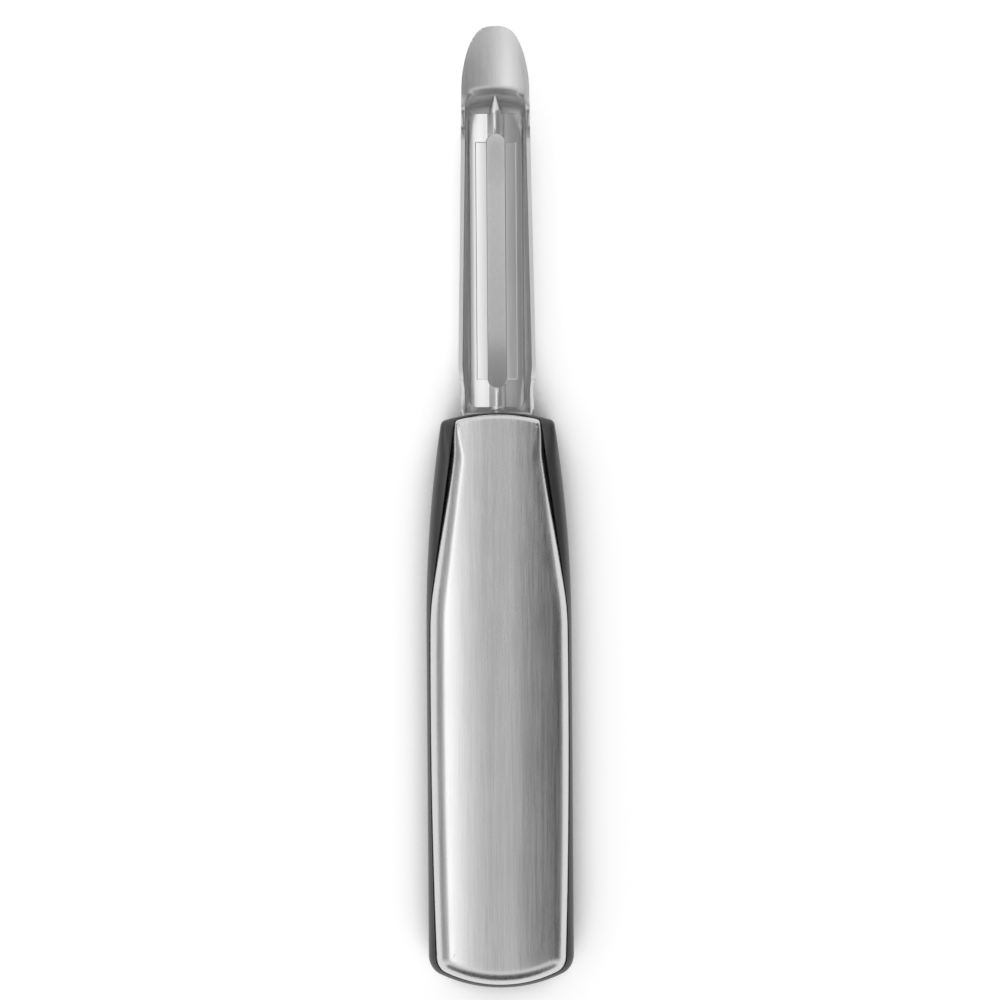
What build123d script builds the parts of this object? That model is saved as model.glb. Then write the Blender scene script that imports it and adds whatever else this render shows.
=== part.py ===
"""A straight vegetable peeler with a swivelling blade, modelled as its separate pieces.

X runs across the peeler, Y along it towards the scoop at its tip, and Z up out of its front cover.
It lies on its back cover, whose flat crown touches Z = 0, with the origin under the middle of it.
All lengths are millimetres and all angles degrees.
"""

import math
import os

from build123d import *

# Overall sizes
overall_length = 190.0
head_length = 76.3
handle_width = 28.7
handle_thickness = 19.0

tip_y = overall_length / 2
butt_y = -overall_length / 2
collar_y = tip_y - head_length
mid_z = handle_thickness / 2

# Outline of the handle, seen from the front
shoulder_width = 22.3
shoulder_drop = 1.7
flare_length = 40.7
butt_arc_radius = 28.0
butt_corner_radius = 4.6

# Covers: drawn sheet with a crowned face and rolled flanks
cover_sheet = 0.6
cover_width = 27.0
cover_front_width = 16.8
cover_butt_width = 25.5
cover_front_inset = 0.45
cover_front_sag = 1.15
cover_flare_length = 37.2
cover_flare_radius = 60.0
cover_butt_inset = 0.7
cover_butt_arc_radius = 25.5
cover_butt_corner_radius = 3.6
crown_strip = 5.0
crown_radius = 36.0
crown_front_drop = 1.5
crown_butt_drop = 0.5
crown_butt_length = 11.3
crown_bend_radius = 240.0
flank_radius = 2.9
cover_edge_radius = 0.9
ledge_height = 4.0

# Soft grip: the elastomer band round the handle
grip_wall = 1.65
grip_collar_height = 13.6
grip_side_height = 11.0
grip_collar_length = 12.0
grip_ease_length = 24.0
grip_radius = 3.2
grip_end_radius = 1.3

# Blade frame: one drawn sheet with a scoop, two rails and a tang
frame_sheet = 0.8
pivot_height = 11.35
scoop_length = 13.4
scoop_width = 13.44
scoop_bowl_depth = 1.7
scoop_bowl_radius = 11.3
bowl_lead = 2.4
lip_rise = 2.2
lip_slope = 78.0
prow_radius = 15.2
rail_widest = 15.35
rail_widest_length = 9.2
neck_width = 14.4
neck_length = 3.6
rail_bend_radius = 8.0
rail_top_drop = 1.0
rail_floor_drop = 5.0
rail_corner_radius = 2.4
rail_rise_length = 9.0
prow_length = 11.0
window_width = 6.8
window_front_ledge = 4.1
window_rear_ledge = 1.4
window_corner_radius = 1.0
frame_seat_length = 4.7

# Tang of the frame, inside the handle
tang_width = 10.0
tang_length = 52.0
tang_rise = 1.2
tang_bend_radius = 0.2
tang_end_radius = 3.0
pin_diameter = 3.0
pin_length = 9.0
pin_spacing = 30.0
first_pin_inset = 12.0

# Swivel blade: a pressed channel with a long slot between two ground edges
blade_sheet = 0.6
blade_width = 10.9
blade_front_gap = 3.8
blade_end_gap = 1.0
blade_crown_radius = 14.0
blade_shoulder_radius = 1.4
blade_flank_lean = 16.0
blade_flank_depth = 3.0
blade_corner_radius = 1.6
slot_width = 3.6
slot_relief = 32.0
slot_front_inset = 4.0
slot_rear_inset = 3.9
bevel_end_inset = 1.65
bevel_width = 8.0
bevel_step = 0.17
bevel_edge_drop = 0.33
rib_diameter = 2.66
rib_groove_diameter = 1.3
front_neck_length = 0.8
front_cone_gap = 0.35
front_pivot_diameter = 0.9
front_pivot_proud = 0.3
rear_shoulder_gap = 0.25
rear_pivot_diameter = 1.8
rear_pivot_proud = 0.5
rear_rib_radius = 0.4

# Clearances
running_fit = 0.05
seat_gap = 0.05
cover_gap = 0.12
cut_overrun = 1.0

# Places worked out from the sizes above
ledge_z = mid_z + ledge_height
lip_y = tip_y - scoop_length
frame_rear_y = collar_y - frame_seat_length
pin_places = [frame_rear_y - first_pin_inset + pin_spacing * count * -1 for count in range(2)]

# Hand-chosen points of the scoop's side: shares of its half width and of its length from the lip
scoop_side_shares = ((0.925, 0.417), (0.62, 0.843))


def handle_outline(level, inset=0.0):
    """Outline of the whole handle at a level, drawn in from its edge by an inset."""
    half = handle_width / 2
    shoulder_y = collar_y - shoulder_drop
    flare_y = shoulder_y - flare_length
    corner_y = butt_y + butt_arc_radius - math.sqrt(butt_arc_radius**2 - half**2)
    with BuildSketch(Plane.XY.offset(level)) as sketch:
        with BuildLine():
            ThreePointArc(
                (-shoulder_width / 2, shoulder_y), (0, collar_y), (shoulder_width / 2, shoulder_y)
            )
            for side in (-1, 1):
                TangentArc((side * half, flare_y), (side * shoulder_width / 2, shoulder_y), tangent=(0, 1))
                Line((side * half, flare_y), (side * half, corner_y))
            ThreePointArc((-half, corner_y), (0, butt_y), (half, corner_y))
        make_face()
        fillet(sketch.vertices().group_by(Axis.Y)[0], butt_corner_radius)
        if inset:
            offset(amount=-inset, mode=Mode.REPLACE)
    return sketch.sketch


def cover_outline(level, inset=0.0):
    """Outline of a cover at a level, drawn in from its edge by an inset."""
    front_y = collar_y - cover_front_inset
    corner_y = front_y - cover_front_sag
    flare_y = corner_y - cover_flare_length
    half = cover_width / 2
    butt_half = cover_butt_width / 2
    end_y = butt_y + cover_butt_inset
    butt_corner_y = end_y + cover_butt_arc_radius - math.sqrt(cover_butt_arc_radius**2 - butt_half**2)
    bulge_y = (flare_y + butt_corner_y) / 2
    with BuildSketch(Plane.XY.offset(level)) as sketch:
        with BuildLine():
            ThreePointArc(
                (-cover_front_width / 2, corner_y), (0, front_y), (cover_front_width / 2, corner_y)
            )
            for side in (-1, 1):
                Line((side * cover_front_width / 2, corner_y), (side * half, flare_y))
                ThreePointArc(
                    (side * half, flare_y), (side * half, bulge_y), (side * butt_half, butt_corner_y)
                )
            ThreePointArc((-butt_half, butt_corner_y), (0, end_y), (butt_half, butt_corner_y))
        make_face()
        flare_corners = [v for v in sketch.vertices() if abs(v.Y - flare_y) < flank_radius]
        fillet(flare_corners, cover_flare_radius)
        fillet(sketch.vertices().group_by(Axis.Y)[0], cover_butt_corner_radius)
        if inset:
            offset(amount=-inset, mode=Mode.REPLACE)
    return sketch.sketch


def front_wall(faces):
    """The face that lies wholly at the end nearest to the scoop."""
    return max(faces, key=lambda face: face.bounding_box().min.Y)


def side_walls(faces):
    """The upright faces of a form, but for its front wall."""
    front = front_wall(faces)
    return [f for f in faces if abs(f.normal_at().Z) < 0.5 and f.center() != front.center()]


def level_edges(walls, lowest=-math.inf):
    """Edges that run along some upright walls, above a level."""
    picked = []
    for edge in [e for wall in walls for e in wall.edges()]:
        box = edge.bounding_box()
        if math.hypot(box.size.X, box.size.Y) > seat_gap and box.min.Z > lowest:
            picked.append(edge)
    return picked


def crown_block(inset):
    """Everything under the crowned face of the front cover, with the face lowered by an inset."""
    top = handle_thickness - inset
    front = Vector(0, collar_y + cut_overrun, top - crown_front_drop)
    bend = Vector(0, collar_y - shoulder_drop - flare_length, top)
    level_end = Vector(0, butt_y + crown_butt_length, top)
    butt = Vector(0, butt_y - cut_overrun, top - crown_butt_drop)
    with BuildLine() as path:
        FilletPolyline(front, bend, level_end, butt, radius=crown_bend_radius)
    depth = handle_thickness
    half = handle_width / 2 + cut_overrun
    radius = crown_radius - inset
    turn = math.degrees(math.asin((half - crown_strip / 2) / radius))
    with BuildPart() as block:
        with BuildSketch(Plane(origin=path.line @ 0, x_dir=(1, 0, 0), z_dir=path.line % 0)):
            with BuildLine():
                strip = Line((-crown_strip / 2, 0), (crown_strip / 2, 0))
                right = JernArc(start=strip @ 1, tangent=(1, 0), radius=radius, arc_size=-turn)
                left = JernArc(start=strip @ 0, tangent=(-1, 0), radius=radius, arc_size=turn)
                Polyline(right @ 1, (half, -depth), (-half, -depth), left @ 1)
            make_face()
        sweep(path=path.line)
    return block.part


def pillow(inset):
    """Outer form of the front cover above its lower edge, drawn in all round by an inset."""
    with BuildPart() as form:
        extrude(cover_outline(ledge_z, inset), amount=handle_thickness)
        add(crown_block(inset), mode=Mode.INTERSECT)
        fillet(level_edges(side_walls(form.faces()), ledge_z + flank_radius / 2), flank_radius - inset)
        ends = [e for e in front_wall(form.faces()).edges() if e.bounding_box().max.Z > ledge_z + seat_gap]
        fillet(ends, cover_edge_radius - inset / 2)
    return form.part


# Front cover and back cover: two pressings of one tool
with BuildPart() as front_cover:
    add(pillow(0.0))
    add(pillow(cover_sheet), mode=Mode.SUBTRACT)
front_cover.part.label = "front_cover"

with BuildPart() as back_cover:
    add(mirror(front_cover.part, about=Plane.XY.offset(mid_z)))
back_cover.part.label = "back_cover"


def rail_outline(level, inset, rear_y):
    """Outline of the trough of the frame, from a place in the handle to under the scoop."""
    neck = neck_width / 2 - inset
    widest = rail_widest / 2 - inset
    front = scoop_width / 2 - inset
    neck_y = collar_y + neck_length
    widest_y = collar_y + rail_widest_length
    with BuildSketch(Plane.XY.offset(level)) as sketch:
        with BuildLine():
            for side in (-1, 1):
                Polyline(
                    (side * neck, rear_y),
                    (side * neck, neck_y),
                    (side * widest, widest_y),
                    (side * front, lip_y),
                    (side * front, tip_y),
                )
            Line((-neck, rear_y), (neck, rear_y))
            Line((-front, tip_y), (front, tip_y))
        make_face()
        bends = [v for v in sketch.vertices() if neck_y - neck_length / 2 < v.Y < widest_y + neck_length / 2]
        fillet(bends, rail_bend_radius)
    return sketch.sketch


def trough_form(inset, rear_y):
    """Solid form of the drawn trough: its outside, its inside, or the pocket that it sits in."""
    floor = pivot_height - rail_floor_drop - frame_sheet + inset
    with BuildPart() as form:
        extrude(rail_outline(floor, inset, rear_y), amount=handle_thickness / 2)
        bottom = form.faces().sort_by(Axis.Z)[0]
        sides = [e for e in bottom.edges() if e.bounding_box().size.Y > e.bounding_box().size.X]
        fillet(sides, rail_corner_radius - inset)
    return form.part


def bowl_barrel(inset):
    """Body of revolution whose lower side is the bowl of the scoop, or the underside of its sheet."""
    radius = bow_radius + inset
    end_y = tip_y + cut_overrun
    axis_z = bowl_z + scoop_bowl_radius
    turn = math.degrees(math.asin((end_y - bowl_rear_y) / radius))
    with BuildPart() as barrel:
        with BuildSketch(Plane.YZ):
            with BuildLine():
                start = (bowl_rear_y, axis_z + scoop_bowl_radius + inset)
                bowl = JernArc(start=start, tangent=(1, 0), radius=radius, arc_size=-turn)
                Polyline(bowl @ 1, (end_y, axis_z), (bowl_rear_y, axis_z), bowl @ 0)
            make_face()
        revolve(axis=Axis((0, 0, axis_z), (0, 1, 0)))
    return barrel.part


def side_profile(outline):
    """Slab across the whole peeler whose outline is drawn in the plane of Y and Z."""
    with BuildPart() as slab:
        with BuildSketch(Plane.YZ):
            with BuildLine():
                outline()
            make_face()
        extrude(amount=handle_width, both=True)
    return slab.part


# Blade frame: levels and places of its sheet
bowl_z = pivot_height + lip_rise
bowl_rear_y = lip_y - bowl_lead
bow_radius = ((scoop_length + bowl_lead) ** 2 + scoop_bowl_depth**2) / (2 * scoop_bowl_depth)
lip_bowl_radius = scoop_bowl_radius - bow_radius + math.sqrt(bow_radius**2 - bowl_lead**2)
rim_z = bowl_z + scoop_bowl_radius - math.sqrt(lip_bowl_radius**2 - (scoop_width / 2) ** 2)
trough_in = pivot_height - rail_floor_drop
trough_low = trough_in - frame_sheet
tang_low = pivot_height + tang_rise
tang_top = tang_low + frame_sheet
rail_top = pivot_height - rail_top_drop
wall_rear_y = collar_y - frame_sheet
lip_run = 1 / math.tan(math.radians(lip_slope))
wall_run = frame_sheet / math.sin(math.radians(lip_slope))
prow_axis_y = lip_y - prow_radius
pivot_wall_y = lip_y - (bowl_z - pivot_height) * lip_run


def frame_outside():
    """Side view of the trough with its rails, rising to the scoop and to the handle."""
    rise_y = collar_y + rail_rise_length
    prow_y = lip_y - prow_length
    Polyline(
        (frame_rear_y, tang_top),
        (frame_rear_y, trough_low),
        (tip_y, trough_low),
        (tip_y, rim_z),
        (lip_y, rim_z),
    )
    Spline((lip_y, rim_z), (prow_y, rail_top), tangents=[(-1, 0), (-1, 0)])
    Line((prow_y, rail_top), (rise_y, rail_top))
    Spline((rise_y, rail_top), (collar_y, tang_top), tangents=[(-1, 0), (-1, 0)])
    Line((collar_y, tang_top), (frame_rear_y, tang_top))


def frame_inside():
    """Side view of the open trough from its rear wall on."""
    bend = tang_bend_radius + frame_sheet
    Polyline(
        (collar_y, tang_top - bend),
        (collar_y, trough_in),
        (tip_y, trough_in),
        (tip_y, handle_thickness),
        (collar_y - bend, handle_thickness),
        (collar_y - bend, tang_top),
    )
    TangentArc((collar_y - bend, tang_top), (collar_y, tang_top - bend), tangent=(1, 0))


def seat_inside():
    """Side view of the hollow behind the rear wall, under the root of the tang."""
    Polyline(
        (wall_rear_y - tang_bend_radius, tang_low),
        (frame_rear_y - cut_overrun, tang_low),
        (frame_rear_y - cut_overrun, trough_in),
        (wall_rear_y, trough_in),
        (wall_rear_y, tang_low - tang_bend_radius),
    )
    TangentArc(
        (wall_rear_y - tang_bend_radius, tang_low), (wall_rear_y, tang_low - tang_bend_radius), tangent=(1, 0)
    )


def prow_block(radius):
    """Block whose front end is arched seen from above, and leans; its radius is that at the lip."""
    low = trough_low - cut_overrun
    with BuildPart() as block:
        with BuildSketch(Plane.YZ):
            with BuildLine():
                Polyline(
                    (prow_axis_y, low),
                    (prow_axis_y + radius - (bowl_z - low) * lip_run, low),
                    (prow_axis_y + radius + (handle_thickness - bowl_z) * lip_run, handle_thickness),
                    (prow_axis_y, handle_thickness),
                    close=True,
                )
            make_face()
        revolve(axis=Axis((0, prow_axis_y, 0), (0, 0, 1)))
        with BuildSketch(Plane.XY.offset(low)):
            with Locations((0, prow_axis_y)):
                Rectangle(handle_width, overall_length, align=(Align.CENTER, Align.MAX))
        extrude(amount=handle_thickness - low)
    return block.part


def prow_uprights(faces):
    """Upright edges of the arched front wall of a trough, from which a fillet runs round its foot too."""
    edges = [e for face in faces if face.geom_type == GeomType.CONE for e in face.edges()]
    return [e for e in edges if e.bounding_box().size.Z > rail_corner_radius]


with BuildPart() as trough_hollow:
    add(trough_form(frame_sheet, frame_rear_y - cut_overrun))

with BuildPart() as open_trough:
    add(trough_hollow.part & side_profile(frame_inside) & prow_block(prow_radius))
    fillet(prow_uprights(open_trough.faces()), rail_corner_radius - frame_sheet)

with BuildPart() as scoop_sheet:
    with BuildSketch(Plane.XY.offset(trough_low)):
        half = scoop_width / 2
        with BuildLine():
            for side in (-1, 1):
                points = [(side * half, lip_y)]
                for width_share, length_share in scoop_side_shares:
                    points.append((side * half * width_share, lip_y + scoop_length * length_share))
                points.append((0, tip_y))
                Spline(*points, tangents=[(0, 1), (-side, 0)])
            Line((-half, lip_y), (half, lip_y))
        make_face()
    extrude(amount=handle_thickness)
    add(bowl_barrel(frame_sheet), mode=Mode.INTERSECT)

with BuildPart() as blade_frame:
    add(trough_form(0.0, frame_rear_y))
    add(side_profile(frame_outside), mode=Mode.INTERSECT)
    add(prow_block(prow_radius + wall_run), mode=Mode.INTERSECT)
    fillet(prow_uprights(blade_frame.faces()), rail_corner_radius)
    add(open_trough.part, mode=Mode.SUBTRACT)
    add(trough_hollow.part & side_profile(seat_inside), mode=Mode.SUBTRACT)
    add(scoop_sheet.part)
    add(bowl_barrel(0.0), mode=Mode.SUBTRACT)
    # Window behind the blade
    with BuildSketch(Plane.XY.offset(trough_low)):
        window_rear_y = collar_y + window_rear_ledge
        with Locations((0, window_rear_y)):
            window_length = lip_y - window_front_ledge - window_rear_y
            Rectangle(window_width, window_length, align=(Align.CENTER, Align.MIN))
        fillet(vertices(), window_corner_radius)
    extrude(amount=frame_sheet + rail_corner_radius, mode=Mode.SUBTRACT)
    # Tang, with a hole for each cross pin
    with BuildSketch(Plane.XY.offset(tang_low)):
        with Locations((0, wall_rear_y)):
            Rectangle(tang_width, tang_length, align=(Align.CENTER, Align.MAX))
        fillet(vertices().group_by(Axis.Y)[0], tang_end_radius)
    extrude(amount=frame_sheet)
    for pin_y in pin_places:
        with Locations(Plane.XY.offset(tang_top)):
            with Locations((0, pin_y)):
                Hole(pin_diameter / 2 + seat_gap)
    # Pivot holes in the front wall and the rear wall
    for radius, hole_y in (
        (front_pivot_diameter / 2, pivot_wall_y),
        (rear_pivot_diameter / 2, wall_rear_y),
    ):
        with BuildSketch(Plane.XZ.offset(-hole_y)):
            with Locations((0, pivot_height)):
                Circle(radius + running_fit)
        extrude(amount=frame_sheet * 2, both=True, mode=Mode.SUBTRACT)
blade_frame.part.label = "blade_frame"

# Swivel blade: levels and places of the pressed channel
blade_rear_y = collar_y + blade_end_gap
blade_front_y = lip_y - blade_front_gap
blade_length = blade_front_y - blade_rear_y
blade_mid_y = (blade_rear_y + blade_front_y) / 2
crown_z = pivot_height + blade_sheet / 2
slot_length = blade_length - slot_rear_inset - slot_front_inset
slot_mid_y = blade_rear_y + slot_rear_inset + slot_length / 2
slot_half = slot_width / 2
bevel_half = bevel_width / 2
bevel_length = slot_length - bevel_end_inset * 2


def crown_surface(x):
    """Height of the blade's outer face at a distance from its middle."""
    return crown_z - blade_crown_radius + math.sqrt(blade_crown_radius**2 - x**2)


def channel_section(inset):
    """Cross-section of the blade, filled in between its flanks, drawn in from its outer face."""
    radius = blade_crown_radius - inset
    bend = blade_shoulder_radius - inset
    reach = blade_width / 2 - blade_shoulder_radius
    turn = math.degrees(math.asin(reach / (blade_crown_radius - blade_shoulder_radius)))
    with BuildSketch(Plane.XZ.offset(-blade_rear_y)) as sketch:
        with BuildLine():
            for side in (-1, 1):
                crown = JernArc(
                    start=(0, crown_z - inset), tangent=(side, 0), radius=radius, arc_size=-side * turn
                )
                lean = 90 + blade_flank_lean - turn
                shoulder = JernArc(start=crown @ 1, tangent=crown % 1, radius=bend, arc_size=-side * lean)
                drop = (shoulder @ 1).Y - pivot_height + blade_flank_depth + inset
                flank = Line(shoulder @ 1, shoulder @ 1 + shoulder % 1 * (drop / abs((shoulder % 1).Y)))
                Line(flank @ 1, (0, (flank @ 1).Y))
        make_face()
    return sketch.sketch


with BuildPart() as swivel_blade:
    extrude(channel_section(0.0), amount=-blade_length)
    extrude(channel_section(blade_sheet), amount=-blade_length, mode=Mode.SUBTRACT)
    with BuildSketch(Plane.XY.offset(pivot_height - blade_flank_depth - blade_sheet)):
        with Locations((0, blade_mid_y)):
            RectangleRounded(blade_width + blade_sheet, blade_length, blade_corner_radius + blade_sheet / 2)
    extrude(amount=blade_width, mode=Mode.INTERSECT)
    # Half-round ribs at both ends of the slot
    rib_radius = rib_diameter / 2
    for end_y, length in (
        (blade_rear_y, slot_rear_inset + slot_half),
        (blade_front_y, -(slot_front_inset + slot_half)),
    ):
        with BuildSketch(Plane.XZ.offset(-end_y)):
            with Locations((0, pivot_height)):
                Circle(rib_radius)
                Circle(rib_groove_diameter / 2, mode=Mode.SUBTRACT)
                Rectangle(rib_diameter, rib_radius, align=(Align.CENTER, Align.MAX), mode=Mode.SUBTRACT)
        extrude(amount=-length)
    # Front pivot: the rib runs out into a cone and a thin journal
    with BuildSketch(Plane.YZ):
        neck_y = blade_front_y + front_neck_length
        cone_y = pivot_wall_y - front_cone_gap
        journal_y = pivot_wall_y + wall_run + front_pivot_proud
        front_radius = front_pivot_diameter / 2
        with BuildLine():
            Polyline(
                (blade_front_y, pivot_height),
                (blade_front_y, pivot_height + rib_radius),
                (neck_y, pivot_height + rib_radius),
                (cone_y, pivot_height + front_radius),
                (journal_y, pivot_height + front_radius),
                (journal_y, pivot_height),
                close=True,
            )
        make_face()
    revolve(axis=Axis((0, 0, pivot_height), (0, 1, 0)))
    # Rear pivot: the rib ends in a rounded shoulder and a journal
    with BuildSketch(Plane.YZ):
        root_y = blade_rear_y + blade_sheet
        shoulder_y = collar_y + rear_shoulder_gap
        tail_y = wall_rear_y - rear_pivot_proud
        rear_radius = rear_pivot_diameter / 2
        with BuildLine():
            Polyline(
                (root_y, pivot_height),
                (root_y, pivot_height + rib_radius),
                (shoulder_y, pivot_height + rib_radius),
                (shoulder_y, pivot_height + rear_radius),
                (tail_y, pivot_height + rear_radius),
                (tail_y, pivot_height),
                close=True,
            )
        make_face()
        fillet(vertices().sort_by(Axis.Y)[-2:].sort_by(Axis.X)[0], rear_rib_radius)
    revolve(axis=Axis((0, 0, pivot_height), (0, 1, 0)))
    # Slot, wider below its two sharp lips
    lip_z = crown_surface(slot_half) - bevel_edge_drop
    with BuildSketch(Plane.XY.offset(lip_z)):
        with Locations((0, slot_mid_y)):
            SlotOverall(slot_length, slot_width, rotation=90)
    extrude(amount=rib_diameter, mode=Mode.SUBTRACT)
    with BuildSketch(Plane(origin=(0, slot_mid_y, lip_z), x_dir=(1, 0, 0), z_dir=(0, 0, -1))):
        SlotOverall(slot_length, slot_width, rotation=90)
    extrude(amount=rib_diameter, taper=-slot_relief, mode=Mode.SUBTRACT)
    # Ground bevels beside the slot
    with BuildSketch(Plane.XZ.offset(-(slot_mid_y - bevel_length / 2))):
        with BuildLine():
            for side in (-1, 1):
                Polyline(
                    (0, lip_z),
                    (side * slot_half, lip_z),
                    (side * bevel_half, crown_surface(bevel_half) - bevel_step),
                    (side * bevel_half, crown_z + blade_sheet),
                    (0, crown_z + blade_sheet),
                )
        make_face()
    extrude(amount=-bevel_length, mode=Mode.SUBTRACT)
swivel_blade.part.label = "swivel_blade"

# Tang pins
with BuildPart() as tang_pins:
    for pin_y in pin_places:
        with Locations((0, pin_y, tang_low + frame_sheet / 2)):
            Cylinder(pin_diameter / 2, pin_length)
tang_pins.part.label = "tang_pins"

# Pocket of the frame's rear end, with the seat's clearance, and pocket of the tang
with BuildPart() as frame_pocket:
    add(trough_form(-seat_gap, frame_rear_y - seat_gap))
    with BuildSketch(Plane.XY.offset(tang_top + seat_gap)):
        Rectangle(handle_width, overall_length)
    extrude(amount=handle_thickness, mode=Mode.SUBTRACT)

with BuildPart() as tang_pocket:
    with BuildSketch(Plane.XY.offset(mid_z)):
        with Locations((0, collar_y)):
            Rectangle(
                tang_width + seat_gap * 2,
                tang_length + frame_sheet + seat_gap,
                align=(Align.CENTER, Align.MAX),
            )
        fillet(vertices().group_by(Axis.Y)[0], tang_end_radius)
    extrude(amount=tang_top + seat_gap - mid_z)

with BuildPart() as pin_bores:
    for pin_y in pin_places:
        with Locations((0, pin_y, tang_low + frame_sheet / 2)):
            Cylinder(pin_diameter / 2 + seat_gap, pin_length + seat_gap * 2)


def core_form():
    """Half of the rigid core before its pockets: it fills the grip and stands up into the cover."""
    with BuildPart() as form:
        extrude(handle_outline(mid_z, grip_wall), amount=ledge_height)
        add(pillow(cover_sheet + seat_gap))
    return form.part


# Rigid core: two moulded halves that clamp the tang
with BuildPart() as core_front:
    add(core_form())
    add(frame_pocket.part, mode=Mode.SUBTRACT)
    add(tang_pocket.part, mode=Mode.SUBTRACT)
    add(pin_bores.part, mode=Mode.SUBTRACT)
core_front.part.label = "core_front"

with BuildPart() as core_back:
    add(mirror(core_form(), about=Plane.XY.offset(mid_z)))
    with BuildSketch(Plane.XY.offset(mid_z)):
        with Locations((0, frame_rear_y - seat_gap)):
            Rectangle(
                tang_width - seat_gap * 2,
                tang_length - frame_seat_length + frame_sheet - seat_gap * 2,
                align=(Align.CENTER, Align.MAX),
            )
        fillet(vertices().group_by(Axis.Y)[0], tang_end_radius - seat_gap)
    extrude(amount=tang_low - seat_gap - mid_z)
    add(frame_pocket.part, mode=Mode.SUBTRACT)
    add(pin_bores.part, mode=Mode.SUBTRACT)
core_back.part.label = "core_back"


def grip_side():
    """Side view of the soft grip, deep at the collar and shallower along the sides."""
    ease_start = collar_y - grip_collar_length
    ease_end = ease_start - grip_ease_length
    front_y = collar_y + cut_overrun
    rear_y = butt_y - cut_overrun
    for side in (-1, 1):
        high = mid_z + side * grip_collar_height / 2
        low = mid_z + side * grip_side_height / 2
        Line((front_y, high), (ease_start, high))
        Spline((ease_start, high), (ease_end, low), tangents=[(-1, 0), (-1, 0)])
        Line((ease_end, low), (rear_y, low))
    for place, height in ((front_y, grip_collar_height), (rear_y, grip_side_height)):
        Line((place, mid_z - height / 2), (place, mid_z + height / 2))


# Cutter that rounds the front end of the grip, turned about the axis of its arched front wall
nose_radius = ((shoulder_width / 2) ** 2 + shoulder_drop**2) / (2 * shoulder_drop)
nose_axis_y = collar_y - nose_radius
with BuildPart() as nose_trim:
    with BuildSketch(Plane.XZ.offset(-nose_axis_y)):
        top = mid_z + grip_collar_height / 2
        with BuildLine():
            start = (nose_radius - grip_end_radius, top)
            end = (nose_radius, top - grip_end_radius)
            RadiusArc(start, end, grip_end_radius)
            Polyline(
                end,
                (nose_radius + cut_overrun, top - grip_end_radius),
                (nose_radius + cut_overrun, top + cut_overrun),
                (nose_radius - grip_end_radius, top + cut_overrun),
                start,
            )
        make_face()
    revolve(axis=Axis((0, nose_axis_y, 0), (0, 0, 1)), revolution_arc=180)

# Slivers that are cut off to round the two shoulders of the grip
with BuildSketch(Plane.XY.offset(mid_z)) as rounded_shoulders:
    add(handle_outline(mid_z))
    fillet(vertices().group_by(Axis.Y)[-1], grip_end_radius)

with BuildSketch(Plane.XY.offset(mid_z)) as shoulder_slivers:
    add(handle_outline(mid_z))
    add(rounded_shoulders.sketch, mode=Mode.SUBTRACT)

# Soft grip: its upper half is shaped first and mirrored
with BuildPart() as grip_half:
    extrude(handle_outline(mid_z), amount=handle_thickness / 2)
    add(side_profile(grip_side), mode=Mode.INTERSECT)
    fillet(level_edges(side_walls(faces()), mid_z + grip_radius), grip_radius)
    add(nose_trim.part, mode=Mode.SUBTRACT)
    extrude(shoulder_slivers.sketch, amount=handle_thickness / 2, mode=Mode.SUBTRACT)
    extrude(handle_outline(mid_z, grip_wall), amount=ledge_height, mode=Mode.SUBTRACT)
    extrude(cover_outline(ledge_z, -cover_gap), amount=handle_thickness, mode=Mode.SUBTRACT)

with BuildPart() as soft_grip:
    add(grip_half.part)
    mirror(about=Plane.XY.offset(mid_z))
    add(frame_pocket.part, mode=Mode.SUBTRACT)
soft_grip.part.label = "soft_grip"

os.makedirs("parts", exist_ok=True)
for piece in (
    blade_frame, swivel_blade, tang_pins, core_front, core_back, front_cover, back_cover, soft_grip
):
    export_step(piece.part, f"parts/{piece.part.label}.step")
    count = len(piece.part.solids())
    print(piece.part.label, round(piece.part.volume, 1), "mm3 in", count, "solids", piece.part.is_valid)
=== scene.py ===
# %% [markdown]
# # A straight vegetable peeler
#
# This lesson dresses a finished engineering model. The model gives every piece at its real place and
# size; this script gives the pieces their surfaces, finishes, light and camera. The peeler lies on its
# back cover: X runs across it, Y along it towards the scoop, and Z up out of its front cover.

import math

import bmesh
import bpy
import numpy as np
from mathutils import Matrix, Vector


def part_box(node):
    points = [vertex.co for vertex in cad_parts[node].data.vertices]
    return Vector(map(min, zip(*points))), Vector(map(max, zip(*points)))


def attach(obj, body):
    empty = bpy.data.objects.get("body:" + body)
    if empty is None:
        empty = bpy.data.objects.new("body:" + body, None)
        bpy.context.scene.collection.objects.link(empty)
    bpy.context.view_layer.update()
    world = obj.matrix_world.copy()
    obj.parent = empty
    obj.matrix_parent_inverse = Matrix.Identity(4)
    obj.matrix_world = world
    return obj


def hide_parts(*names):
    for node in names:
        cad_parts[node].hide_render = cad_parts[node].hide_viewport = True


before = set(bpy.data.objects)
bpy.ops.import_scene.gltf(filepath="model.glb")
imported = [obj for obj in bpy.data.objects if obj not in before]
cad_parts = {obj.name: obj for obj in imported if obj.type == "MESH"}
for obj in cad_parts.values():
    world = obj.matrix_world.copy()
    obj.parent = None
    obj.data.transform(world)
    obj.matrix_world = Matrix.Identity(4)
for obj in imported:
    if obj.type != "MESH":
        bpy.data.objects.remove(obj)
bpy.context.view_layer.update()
MM = 0.001

# %% [markdown]
# ## From arrays to meshes
#
# Every new piece here is a surface worked out on a grid. Two corners of a grid may fall on one point,
# as at the ends of a cover, so points that coincide are joined first, and a quad that has lost a
# corner becomes a triangle. A closed mesh has a volume, and its sign tells whether the faces look
# outwards.

# %% Grid helpers
WELD = 1e-7
SHARP_ANGLE = math.radians(38)
EDGE_SEGMENTS = 2


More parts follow.
